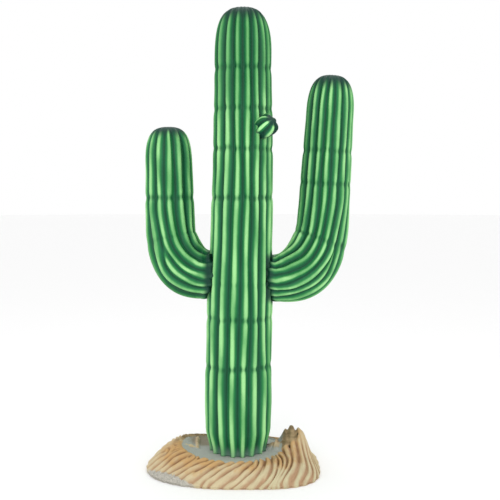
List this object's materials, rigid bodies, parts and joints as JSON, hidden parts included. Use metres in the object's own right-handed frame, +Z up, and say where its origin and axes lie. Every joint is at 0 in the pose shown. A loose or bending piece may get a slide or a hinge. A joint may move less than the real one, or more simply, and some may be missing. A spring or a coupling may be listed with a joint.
{
  "type": "artificial cactus",
  "caption": "Tall ribbed display cactus with an upturned arm on each side and a bud, standing on a sculpted sandstone-like base.",
  "frame": {"origin": "on the flat underside of the base, under the foot of the trunk", "axes": "+Z up along the trunk, +X toward the taller arm, -Y toward the front"},
  "size_m": [0.9824, 0.592, 2.146],
  "materials": {
    "skin": "moulded resin, airbrushed light green along the rib crests and dark blue-green in the grooves, under a satin varnish",
    "stone": "moulded resin carved as sandstone, painted cream on the ridges and rust brown between them, with a grey sandy hollow"
  },
  "bodies": {
    "root": {"trunk": "skin", "left_arm_elbow": "skin", "left_arm_upright": "skin", "right_arm_elbow": "skin", "right_arm_upright": "skin", "bud": "skin", "base": "stone"}
  },
  "joints": []
}
